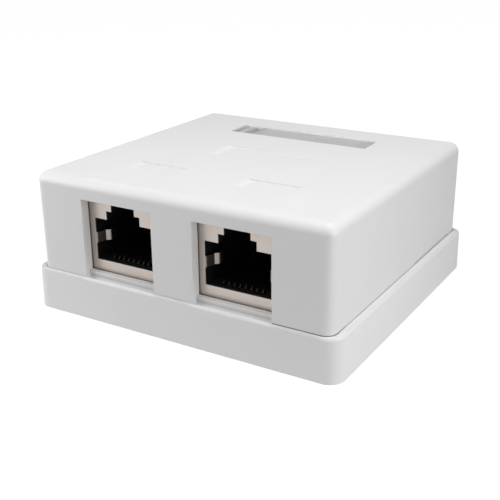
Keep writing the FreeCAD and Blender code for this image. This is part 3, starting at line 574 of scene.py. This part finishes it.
@dataclass(frozen=True)
class PlatedSheet:
    """Plated sheet metal with a faint rolling grain, duller in places, with painted shade further
    back.

    Painted shade darkens it where Y is more than dim_from_mm, which as it stands is behind the
    whole box.
    """

    name: str
    colour: Colour
    tarnish: Colour
    roughness: float
    gloss_spread: float = 0.12
    round_mm: float = 0.08
    grain_per_mm: Point = (0.3, 0.3, 9.0)
    grain_share: float = 0.2
    grain_mm: float = 0.002
    cloud_per_mm: float = 0.35
    cloud_share: float = 0.6
    dim_from_mm: float = 100.0
    dim_share: float = 0.35
    painted_deep_shade: Colour = (0.05, 0.05, 0.05)

    def make(self) -> bpy.types.Material:
        """Makes the plating.

        Returns:
            The finished material.
        """
        bench = Bench.material(self.name)
        where = bench.place()
        rolled = bench.noise(bench.stretched(where, self.grain_per_mm), 1.0, detail=3.0)
        cloud = bench.noise(where, self.cloud_per_mm, detail=2.0)
        dull = cloud * self.cloud_share + rolled * self.grain_share
        plated = bench.blend(dull, self.colour, self.tarnish)
        # Painted shade on the sheet behind dim_from_mm, deep in the opening.
        behind = self.dim_share * bench.parts(where)[1].above(self.dim_from_mm)
        return bench.finish({
            "Base Color": bench.blend(behind, plated, self.painted_deep_shade),
            "Metallic": 1.0,
            "Roughness": self.roughness - 0.5 * self.gloss_spread + self.gloss_spread * rolled,
            "Normal": bench.relief(rolled, self.grain_mm, bench.rounded(self.round_mm)),
        })


@dataclass(frozen=True)
class ClearMoulding:
    """Clear moulded plastic, seen as a thin pane, with painted shade and highlight over its finger
    catch.

    Each flute is a place along the pane in millimetres and how bright the painted light and shade
    make the plastic there.
    """

    name: str
    colour: Colour
    alpha: float
    left_mm: float
    length_mm: float
    alpha_spread: float = 0.04
    roughness: float = 0.08
    gloss_spread: float = 0.06
    refraction: float = 1.49
    wave_per_mm: float = 0.25
    wave_mm: float = 0.01
    haze_share: float = 0.06
    haze: Colour = (0.5, 0.5, 0.5)
    lift: float = 3.0
    # Painted shade and highlight along the pane: the catch's ribs and the pane's right end.
    painted_flute_shading: tuple[tuple[float, float], ...] = (
        (0.0, 0.45), (0.9, 0.5), (1.3, 1.15), (2.0, 1.1), (2.5, 0.6), (3.0, 0.4), (3.6, 0.45),
        (4.4, 0.85), (6.5, 1.0), (25.5, 1.0), (26.2, 0.9), (27.6, 0.9), (28.3, 0.75),
    )

    def make(self) -> bpy.types.Material:
        """Makes the clear plastic, its normals lifted so that the pane's walls look like its face.

        Returns:
            The finished material.
        """
        bench = Bench.material(self.name)
        where = bench.place()
        wave = bench.noise(where, self.wave_per_mm, detail=1.0)
        along = (bench.parts(where)[0] - self.left_mm) / self.length_mm
        # The tones are painted shade and highlight, not the clear plastic's own colour.
        stops = [(mm / self.length_mm, toned(self.colour, tone)) for mm, tone in self.painted_flute_shading]
        fluted = bench.node("ShaderNodeValToRGB", {"stops": stops}, {0: along})
        return bench.finish({
            "Base Color": bench.blend(self.haze_share * wave, fluted, self.haze),
            "Roughness": self.roughness + self.gloss_spread * wave,
            "Alpha": self.alpha + self.alpha_spread * wave,
            "IOR": self.refraction,
            "Normal": bench.turned(bench.relief(wave, self.wave_mm), (0.0, 0.0, self.lift)),
        })


@dataclass(frozen=True)
class Card:
    """Plain uncoated card with a faint fibre."""

    name: str
    colour: Colour
    roughness: float = 0.75
    gloss_spread: float = 0.1
    fibre_per_mm: float = 2.5
    fibre_run: Point = (0.6, 4.0, 4.0)
    fibre_mm: float = 0.006
    fibre_tone: float = 0.93

    def make(self) -> bpy.types.Material:
        """Makes the card.

        Returns:
            The finished material.
        """
        bench = Bench.material(self.name)
        run = bench.stretched(bench.place(), self.fibre_run)
        fibre = bench.noise(run, self.fibre_per_mm, detail=4.0)
        return bench.finish({
            "Base Color": bench.blend(fibre, self.colour, toned(self.colour, self.fibre_tone)),
            "Roughness": self.roughness + self.gloss_spread * fibre,
            "Normal": bench.relief(fibre, self.fibre_mm),
        })


@dataclass(frozen=True)
class LacqueredBoard:
    """A lacquered circuit board whose copper runs show as raised, lighter bands."""

    name: str
    lacquer: Colour
    copper: Colour
    edge: Colour
    middle_mm: float
    half_mm: float
    face_mm: float = 0.01
    run_fold_mm: float = 0.64
    run_from_mm: float = 0.3
    run_share: float = 0.7
    run_rise_mm: float = 0.03
    wander_per_mm: float = 0.12
    wander_mm: float = 6.0
    face_roughness: float = 0.28
    edge_rougher: float = 0.25
    round_mm: float = 0.05

    def make(self) -> bpy.types.Material:
        """Makes the board: the runs lie where X, wandering a little, folds back and forth to low.

        Returns:
            The finished material.
        """
        bench = Bench.material(self.name)
        where = bench.place()
        x, _, z = bench.parts(where)
        wander = bench.noise(where, self.wander_per_mm, detail=0.0) * self.wander_mm
        folds = {0: x + wander, 1: self.run_fold_mm}
        band = bench.node("ShaderNodeMath", {"operation": "PINGPONG"}, folds)
        run = 1.0 - band.above(self.run_from_mm)
        face = (z - self.middle_mm).size().above(self.half_mm - self.face_mm)
        colour = bench.blend(run * self.run_share, self.lacquer, self.copper)
        return bench.finish({
            "Base Color": bench.blend(1.0 - face, colour, self.edge),
            "Roughness": self.face_roughness + self.edge_rougher * (1.0 - face),
            "Normal": bench.relief(run * face, self.run_rise_mm, bench.rounded(self.round_mm)),
        })


@dataclass(frozen=True)
class PlatedWire:
    """Gold-plated spring wire with faint drawing marks."""

    name: str
    colour: Colour
    roughness: float
    gloss_spread: float = 0.1
    mark_per_mm: float = 3.0
    mark_mm: float = 0.002
    mark_tone: float = 0.85

    def make(self) -> bpy.types.Material:
        """Makes the plating.

        Returns:
            The finished material.
        """
        bench = Bench.material(self.name)
        drawn = bench.noise(bench.place(), self.mark_per_mm, detail=2.0)
        return bench.finish({
            "Base Color": bench.blend(drawn, self.colour, toned(self.colour, self.mark_tone)),
            "Metallic": 1.0,
            "Roughness": self.roughness + self.gloss_spread * drawn,
            "Normal": bench.relief(drawn, self.mark_mm),
        })


@dataclass(frozen=True)
class StageFloor:
    """A pale floor that lights the object as grey and is seen as white, with its shadow on it."""

    name: str
    bounce: float
    glow: float
    shadow: float
    cloud_per_mm: float = 0.01
    cloud_tone: float = 1.02

    def _cloudy(self, bench: Bench, cloud: Signal, level: float) -> Signal:
        """A matt grey shader of that level, a little lighter in its clouds.

        Args:
            bench: The material's bench.
            cloud: Where the clouds are.
            level: How light the grey is.

        Returns:
            The shader.
        """
        grey = (level, level, level)
        colour = bench.blend(cloud, grey, toned(grey, self.cloud_tone))
        return bench.node("ShaderNodeBsdfDiffuse", {}, {"Color": colour})

    def make(self) -> bpy.types.Material:
        """Makes the floor.

        Returns:
            The finished material.
        """
        bench = Bench.material(self.name)
        cloud = bench.noise(bench.place(), self.cloud_per_mm, detail=1.0)
        plain = self._cloudy(bench, cloud, self.bounce)
        faint = self._cloudy(bench, cloud, self.shadow)
        lit = bench.node("ShaderNodeEmission", {}, {"Color": WHITE, "Strength": self.glow})
        both = bench.node("ShaderNodeAddShader", {}, {0: faint, 1: lit})
        mixed = {0: bench.seen_directly(), 1: plain, 2: both}
        return bench.surface(bench.node("ShaderNodeMixShader", {}, mixed))


# ---------------------------------------------------------------- surfaces
def closed_skin(points: np.ndarray) -> tuple[np.ndarray, np.ndarray, np.ndarray]:
    """A grid of points as a closed shell.

    Rows run along the piece and columns round it. Each column joins the next and the last joins
    the first, and the first and last rows are drawn together to the point at their middle.

    Args:
        points: The grid, as rows by columns by three.

    Returns:
        The shell's points, its four-sided faces and the triangles that close its ends.
    """
    ends = points[[0, -1]].mean(1)
    inner = points[1:-1]
    index = 2 + np.arange(inner.shape[0] * inner.shape[1]).reshape(inner.shape[:2])
    following = np.roll(index, -1, axis=1)
    quads = np.stack([index[:-1], following[:-1], following[1:], index[1:]], -1).reshape(-1, 4)
    zero = np.zeros_like(index[0])
    first = np.stack([zero, following[0], index[0]], -1)
    last = np.stack([zero + 1, index[-1], following[-1]], -1)
    return np.vstack([ends, inner.reshape(-1, 3)]), quads, np.vstack([first, last])


def make_piece(
    name: str, skins: Sequence[np.ndarray], material: bpy.types.Material
) -> bpy.types.Object:
    """Puts closed shells, in millimetres, into one object.

    Args:
        name: The piece's name.
        skins: A grid of points for each shell.
        material: Its finish.

    Returns:
        The piece.
    """
    points, faces, start = [], [], 0
    for skin in skins:
        shell, quads, ends = closed_skin(skin)
        points.append(shell)
        faces += (quads + start).tolist() + (ends + start).tolist()
        start += len(shell)
    mesh = bpy.data.meshes.new(name)
    mesh.from_pydata((np.vstack(points) * MM).tolist(), [], faces)
    work = bmesh.new()
    work.from_mesh(mesh)
    bmesh.ops.recalc_face_normals(work, faces=work.faces)
    work.to_mesh(mesh)
    work.free()
    mesh.shade_smooth()
    mesh.set_sharp_from_angle(angle=math.radians(SHARP_DEGREES))
    mesh.materials.append(material)
    piece = bpy.data.objects.new(name, mesh)
    bpy.context.scene.collection.objects.link(piece)
    return piece


def stand_in_for(piece: bpy.types.Object, node: str, body: str) -> None:
    """Shows a piece in place of a solid, on the solid's body, and hides the solid.

    Args:
        piece: The detailed piece.
        node: The solid's node.
        body: The body that carries it.
    """
    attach(piece, body)
    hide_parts(node)


def box_mm(node: str) -> tuple[np.ndarray, np.ndarray]:
    """The lowest and highest corners of a solid, in millimetres."""
    low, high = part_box(node)
    return np.array(low) / MM, np.array(high) / MM


def eased_path(corners: np.ndarray, reach: Sequence[float], steps: int) -> np.ndarray:
    """A broken line with its corners eased into curves.

    Each inner corner c, with the unit directions d in and e out, becomes the parabola
    (1-t)^2 (c - r d) + 2 t (1-t) c + t^2 (c + r e) for t from 0 to 1, where r is its reach.

    Args:
        corners: The line's corners, as rows.
        reach: How far each inner corner's curve reaches along its sides.
        steps: Points on each curve.

    Returns:
        The path's points, as rows.
    """
    sides = np.diff(corners, axis=0)
    sides /= np.linalg.norm(sides, axis=1)[:, None]
    t = np.linspace(0.0, 1.0, steps)[None, :, None]
    r = np.asarray(reach)[:, None]
    start = (corners[1:-1] - r * sides[:-1])[:, None]
    end = (corners[1:-1] + r * sides[1:])[:, None]
    curves = (1 - t) ** 2 * start + 2 * t * (1 - t) * corners[1:-1][:, None] + t**2 * end
    return np.vstack([corners[:1], curves.reshape(-1, corners.shape[1]), corners[-1:]])


def round_wire(path: np.ndarray, x: float, radius: float, sides: int) -> np.ndarray:
    """A round wire along a path in an upright plane across X, with domed ends.

    A point is the centre line's point plus r (sin a along X, cos a along the path's normal).
    Along the wire r is the radius, and at each end, radius (1 - cos b) in from it, r is
    radius sin b for b from 0 to 90 degrees.

    Args:
        path: The centre line's (y, z) points, as rows.
        x: The plane's place.
        radius: The wire's radius.
        sides: Points round it.

    Returns:
        The grid of points.
    """
    heading = np.gradient(path, axis=0)
    heading /= np.linalg.norm(heading, axis=1)[:, None]
    b = np.linspace(0.0, 0.5 * math.pi, DOME_ROWS)
    into = radius * (1.0 - np.cos(b))[:, None]
    first, last = path[0] + heading[0] * into, path[-1] - heading[-1] * into[::-1]
    centre = np.vstack([first, path[1:-1], last])
    along = np.repeat(heading, [DOME_ROWS] + [1] * (len(path) - 2) + [DOME_ROWS], axis=0)
    r = radius * np.concatenate([np.sin(b), np.ones(len(path) - 2), np.sin(b)[::-1]])[:, None]
    a = np.linspace(0.0, 2.0 * math.pi, sides, endpoint=False)
    y = centre[:, :1] - along[:, 1:] * r * np.cos(a)
    z = centre[:, 1:] + along[:, :1] * r * np.cos(a)
    return np.stack([x + r * np.sin(a), y, z], -1)


@dataclass(frozen=True)
class PanScrew:
    """A thread-forming screw with a pan head and a cross recess, in millimetres.

    The arms' sizes are shares of the head's radius, and the recess's depth is a share of the
    head's height.
    """

    shank_r: float
    head_r: float
    head_height: float
    length: float
    pitch: float = 0.95
    thread_depth: float = 0.28
    tip_length: float = 1.0
    head_power: float = 2.6
    arms: int = 4
    arm_length: float = 0.62
    arm_width: float = 0.26
    arm_edge: float = 0.045
    arm_taper: float = 0.55
    recess_share: float = 0.62
    columns: int = 72
    rows_per_turn: int = 8
    head_rows: int = 60

    def skin(self, x: float, y: float, seat: float) -> np.ndarray:
        """The screw's surface, from its tip up the shank, under the head and over it to the middle.

        On the shank, at depth s under the seat, the radius is the root's plus the thread's depth
        times the larger of 0 and 1 - 4 |f - 1/2|, where f is the fraction of s / pitch + turn,
        and it closes to the tip along the last millimetre. The head is the curve
        (r / R)^p + (z / H)^p = 1. The recess lowers it where a point lies within an arm's width
        and length, less towards the arm's end.

        Args:
            x: The axis's place.
            y: The axis's place.
            seat: The height that the head rests on.

        Returns:
            The grid of points.
        """
        turn = np.linspace(0.0, 1.0, self.columns, endpoint=False)[None, :]
        rows = round(self.rows_per_turn * self.length / self.pitch)
        s = np.linspace(self.length, 0.0, rows)[:, None]
        f = np.mod(s / self.pitch + turn, 1.0)
        thread = self.thread_depth * np.maximum(0.0, 1.0 - 4.0 * np.abs(f - 0.5))
        close = np.sqrt(np.clip((self.length - s) / self.tip_length, 0.0, 1.0))
        shank_r = (self.shank_r - self.thread_depth + thread) * close
        b = np.linspace(0.0, 0.5 * math.pi, self.head_rows)[:, None]
        head_r = self.head_r * np.cos(b) ** (2.0 / self.head_power)
        head_r = np.broadcast_to(head_r, (self.head_rows, self.columns))
        crown = self.head_height * np.sin(b) ** (2.0 / self.head_power)
        arm = 1.0 / self.arms
        off = 2.0 * math.pi * (np.mod(turn + 0.5 * arm, arm) - 0.5 * arm)
        reach = head_r * np.cos(off) / self.head_r
        across = np.abs(head_r * np.sin(off)) / self.head_r
        inside = np.minimum(self.arm_width / 2 - across, self.arm_length - reach) / self.arm_edge
        shallow = 1.0 - self.arm_taper * np.clip(reach / self.arm_length, 0.0, 1.0)
        depth = self.recess_share * self.head_height * shallow
        top = crown - depth * np.clip(inside, 0.0, 1.0)
        r = np.vstack([shank_r, head_r])
        z = seat + np.vstack([np.broadcast_to(-s, shank_r.shape), top])
        a = 2.0 * math.pi * turn
        return np.stack([x + r * np.cos(a), y + r * np.sin(a), z], -1)


# ---------------------------------------------------------------- pieces
def dress_all(finishes: dict[str, bpy.types.Material]) -> list[str]:
    """Gives carried-over solids their materials.

    Args:
        finishes: The material of each node.

    Returns:
        The nodes.
    """
    for node, material in finishes.items():
        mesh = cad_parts[node].data
        mesh.materials.clear()
        mesh.materials.append(material)
    return list(finishes)


@dataclass
class Casing:
    """The base tray and the cover that lifts off it."""

    tray: TrayMoulding = TrayMoulding("tray_white", (0.84, 0.84, 0.84), 0.42)
    cover: CoverMoulding = CoverMoulding("cover_white", (0.8, 0.8, 0.8), 0.42, panels=(
        Panel(0.0, 0.0, 17.0, 6.4),
        Panel(-PORT_X, -15.35, 10.0, 4.2),
        Panel(PORT_X, -15.35, 10.0, 4.2),
    ))

    def build(self) -> list[str]:
        """Nothing: both mouldings are shown as the solids that they are."""
        return []

    def dress(self) -> list[str]:
        """Gives the two mouldings their finish, and names them."""
        return dress_all({"base_tray": self.tray.make(), "cover": self.cover.make()})


@dataclass
class LabelInsert:
    """The clear window and the card under it."""

    clear: Colour = (0.87, 0.865, 0.86)
    alpha: float = 0.45
    card: Card = Card("label_card_stock", (0.78, 0.78, 0.78))

    def build(self) -> list[str]:
        """Nothing: the window and its card are shown as the solids that they are."""
        return []

    def dress(self) -> list[str]:
        """Gives the window and the card their finishes.

        Returns:
            The nodes that were dressed.
        """
        low, high = box_mm("label_window")
        left, length = low[0], high[0] - low[0]
        window = ClearMoulding("label_window_clear", self.clear, self.alpha, left, length)
        return dress_all({"label_window": window.make(), "label_card": self.card.make()})


@dataclass(frozen=True)
class SpringWires:
    """The round spring wires of one jack, from their solder pins to their free ends."""

    ways: int = 8
    pitch: float = 1.02
    radius: float = 0.165
    row_step: float = 2.54
    level: float = 1.08
    loop_rise: float = 1.6
    tip_back: float = 12.05
    reaches: tuple[float, ...] = (0.45, 0.65, 0.55)
    bend_points: int = 6
    sides: int = 12

    def skins(self, node: str, board_top: float) -> list[np.ndarray]:
        """The surfaces of one jack's wires, each in its way of the solid that they stand for.

        Args:
            node: The node of the jack's contacts.
            board_top: The height of the board's upper face.

        Returns:
            A grid of points for each wire.
        """
        low, high = box_mm(node)
        front, rear = low[1] + self.radius, high[1] - self.radius
        run, tip = board_top + self.level, high[2] - self.radius
        middle = 0.5 * (low[0] + high[0])
        skins = []
        for way in range(self.ways):
            pin = rear - self.row_step * (1 - way % 2)
            corners = np.array([
                (pin, low[2]),
                (pin, run),
                (front, run),
                (front, run + self.loop_rise),
                (front + self.tip_back, tip),
            ])
            path = eased_path(corners, self.reaches, self.bend_points)
            x = middle + (way - 0.5 * (self.ways - 1)) * self.pitch
            skins.append(round_wire(path, x, self.radius, self.sides))
        return skins


@dataclass
class Jacks:
    """The two shielded sockets with their spring wires."""

    # dim_from_mm puts painted shade on the shields' fingers and sides behind their front faces.
    sheet: PlatedSheet = PlatedSheet(
        "shield_plate", (0.51, 0.465, 0.43), (0.43, 0.375, 0.34), 0.36, dim_from_mm=-24.8
    )
    socket: Moulding = Moulding(
        "socket_black", (0.006, 0.006, 0.007), 0.5, round_mm=0.06, specular=0.3
    )
    carrier: Moulding = Moulding(
        "carrier_black", (0.008, 0.008, 0.009), 0.5, round_mm=0.06, specular=0.3
    )
    # The wires are gilt, but their colour is near black: painted shade of the dark socket cavities.
    plating: PlatedWire = PlatedWire("contact_gilt_painted_dark", (0.024, 0.021, 0.016), 0.35)
    wires: SpringWires = SpringWires()

    def build(self) -> list[str]:
        """Makes the spring wires of both jacks.

        Returns:
            The pieces.
        """
        material = self.plating.make()
        board_top = box_mm("circuit_board")[1][2]
        names = []
        for side in Side:
            node = f"jack_contacts_{side.value}"
            names.append(f"spring_wires_{side.value}")
            piece = make_piece(names[-1], self.wires.skins(node, board_top), material)
            stand_in_for(piece, node, "base")
        return names

    def dress(self) -> list[str]:
        """Gives both jacks' solids their finishes.

        Returns:
            The nodes that were dressed.
        """
        finishes = {
            "jack_shield": self.sheet.make(),
            "jack_housing": self.socket.make(),
            "contact_carrier": self.carrier.make(),
        }
        return dress_all({
            f"{stem}_{side.value}": made for side in Side for stem, made in finishes.items()
        })


@dataclass
class Wiring:
    """The circuit board, its terminal blocks, fixings and the cable clamp."""

    block: Moulding = Moulding("terminal_ivory", (0.66, 0.65, 0.6), 0.45, round_mm=0.1)
    clamp: Moulding = Moulding("clamp_white", (0.72, 0.73, 0.73), 0.45, round_mm=0.15)
    blade: PlatedSheet = PlatedSheet(
        "blade_tinned", (0.68, 0.67, 0.64), (0.58, 0.57, 0.54), 0.3, round_mm=0.04
    )
    steel: PlatedSheet = PlatedSheet("steel_zinc", (0.62, 0.62, 0.62), (0.5, 0.5, 0.49), 0.34)
    thread: PlatedSheet = PlatedSheet(
        "screw_zinc", (0.66, 0.66, 0.65), (0.5, 0.5, 0.48), 0.3, round_mm=0.0
    )
    lacquer: Colour = (0.015, 0.12, 0.045)
    copper: Colour = (0.03, 0.2, 0.08)
    core: Colour = (0.28, 0.24, 0.1)
    board_screw: PanScrew = PanScrew(0.95, 2.2, 1.5, 5.3)
    clamp_screw: PanScrew = PanScrew(1.3, 2.6, 1.8, 5.2, pitch=1.1)

    def build(self) -> list[str]:
        """Makes the screws: the front board screw stands on the ground bridge.

        Returns:
            The pieces.
        """
        material = self.thread.make()
        seat = box_mm("circuit_board")[1][2]
        low, high = box_mm("board_screws")
        screw = self.board_screw
        side, back = high[0] - screw.head_r, high[1] - screw.head_r
        places = [
            (0.5 * (low[0] + high[0]), low[1] + screw.head_r, high[2] - screw.head_height),
            (-side, back, seat),
            (side, back, seat),
        ]
        piece = make_piece("board_pan_screws", [screw.skin(*place) for place in places], material)
        stand_in_for(piece, "board_screws", "base")
        low, high = box_mm("clamp_screws")
        screw = self.clamp_screw
        y, top = 0.5 * (low[1] + high[1]), high[2] - screw.head_height
        places = [(low[0] + screw.head_r, y, top), (high[0] - screw.head_r, y, top)]
        piece = make_piece("clamp_pan_screws", [screw.skin(*place) for place in places], material)
        stand_in_for(piece, "clamp_screws", "base")
        return ["board_pan_screws", "clamp_pan_screws"]

    def dress(self) -> list[str]:
        """Gives everything on and around the board its finish.

        Returns:
            The nodes that were dressed.
        """
        low, high = box_mm("circuit_board")
        middle, half = 0.5 * (low[2] + high[2]), 0.5 * (high[2] - low[2])
        board = LacqueredBoard("board_green", self.lacquer, self.copper, self.core, middle, half)
        finishes = {
            "circuit_board": board.make(),
            "ground_bridge": self.steel.make(),
            "cable_clamp": self.clamp.make(),
        }
        block, blade = self.block.make(), self.blade.make()
        for side in Side:
            finishes[f"terminal_block_{side.value}"] = block
            finishes[f"terminal_contacts_{side.value}"] = blade
        return dress_all(finishes)


# ---------------------------------------------------------------- studio
@dataclass(frozen=True)
class Lamp:
    """A soft square lamp, in metres and watts."""

    name: str
    place: Point
    aim: Point
    size: float
    watts: float

    def build(self) -> None:
        """Hangs the lamp."""
        data = bpy.data.lights.new(self.name, "AREA")
        data.shape = "SQUARE"
        data.size = self.size
        data.energy = self.watts
        lamp = bpy.data.objects.new(self.name, data)
        turn = (Vector(self.place) - Vector(self.aim)).to_track_quat("Z", "Y").to_matrix().to_4x4()
        lamp.matrix_world = Matrix.Translation(self.place) @ turn
        lamp.visible_camera = False
        bpy.context.scene.collection.objects.link(lamp)


@dataclass
class Studio:
    """The white floor, the lamps, the surround and the camera, in metres and degrees."""

    azimuth: float = 31.207
    elevation: float = 21.175
    roll: float = -0.51
    distance: float = 0.143605
    target: Point = (0.005781, -0.01297, 0.012)
    lens: float = 62.248
    sensor: float = 36.0
    clip_start: float = 0.005
    clip_end: float = 20.0
    surround: float = 0.15
    floor: StageFloor = StageFloor("floor_white", bounce=0.5, glow=0.97, shadow=0.15)
    floor_half: float = 2.0
    floor_drop: float = 0.00005
    floor_cells: int = 8
    lamps: tuple[Lamp, ...] = (
        Lamp("high_lamp", (0.06, -0.04, 0.2), (0.0, 0.0, 0.01), 0.08, 0.203),
        Lamp("top_lamp", (0.0, -0.05, 0.15), (0.0, 0.0, 0.01), 0.08, 0.046),
        Lamp("right_lamp", (0.12, -0.04, 0.03), (0.0, 0.0, 0.01), 0.05, 0.041),
        Lamp("left_lamp", (-0.14, -0.1, 0.06), (0.0, 0.0, 0.01), 0.08, 0.129),
    )

    def build(self) -> None:
        """Sets the stage."""
        self._floor()
        self._surround()
        for lamp in self.lamps:
            lamp.build()
        self._camera()
        bpy.context.scene.view_settings.view_transform = "Standard"

    def _floor(self) -> None:
        """A flat floor: a grid of square cells, a hair under the object so that it is clear."""
        cells, row = self.floor_cells, self.floor_cells + 1
        span = np.linspace(-self.floor_half, self.floor_half, row)
        x, y = np.meshgrid(span, span)
        points = np.stack([x.ravel(), y.ravel(), np.full(x.size, -self.floor_drop)], 1)
        corner = (np.arange(cells)[:, None] * row + np.arange(cells)).ravel()
        faces = np.stack([corner, corner + 1, corner + row + 1, corner + row], 1)
        mesh = bpy.data.meshes.new("floor")
        mesh.from_pydata(points.tolist(), [], faces.tolist())
        mesh.materials.append(self.floor.make())
        floor = bpy.data.objects.new("floor", mesh)
        bpy.context.scene.collection.objects.link(floor)

    def _surround(self) -> None:
        """An even, soft surround that is seen as white."""
        world = bpy.data.worlds.new("surround")
        bpy.context.scene.world = world
        bench = Bench(world)
        strength = self.surround + (1.0 - self.surround) * bench.seen_directly()
        even = bench.node("ShaderNodeBackground", {}, {"Color": WHITE, "Strength": strength})
        bench.surface(even)

    def _camera(self) -> None:
        """The camera, turned round the target and rolled about its own axis."""
        a, e, r = (math.radians(v) for v in (self.azimuth, self.elevation, self.roll))
        back = Vector((math.sin(a) * math.cos(e), -math.cos(a) * math.cos(e), math.sin(e)))
        right = (-back).cross(Vector((0.0, 0.0, 1.0))).normalized()
        up = right.cross(-back)
        across = math.cos(r) * right + math.sin(r) * up
        above = -math.sin(r) * right + math.cos(r) * up
        data = bpy.data.cameras.new("camera")
        data.sensor_width = self.sensor
        data.lens = self.lens
        data.clip_start = self.clip_start
        data.clip_end = self.clip_end
        camera = bpy.data.objects.new("camera", data)
        turn = Matrix((across, above, back)).transposed().to_4x4()
        camera.matrix_world = Matrix.Translation(Vector(self.target) + back * self.distance) @ turn
        bpy.context.scene.collection.objects.link(camera)
        bpy.context.scene.camera = camera


def main() -> None:
    """Builds and dresses the sub-assemblies in order and reports each piece."""
    logging.basicConfig(level=logging.INFO, format="%(name)s: %(message)s")
    for assembly in (Casing(), LabelInsert(), Jacks(), Wiring()):
        for piece in assembly.build():
            LOG.info("%s: made %s", type(assembly).__name__, piece)
        for node in assembly.dress():
            LOG.info("%s: dressed %s", type(assembly).__name__, node)
    Studio().build()


if __name__ == "__main__":
    main()
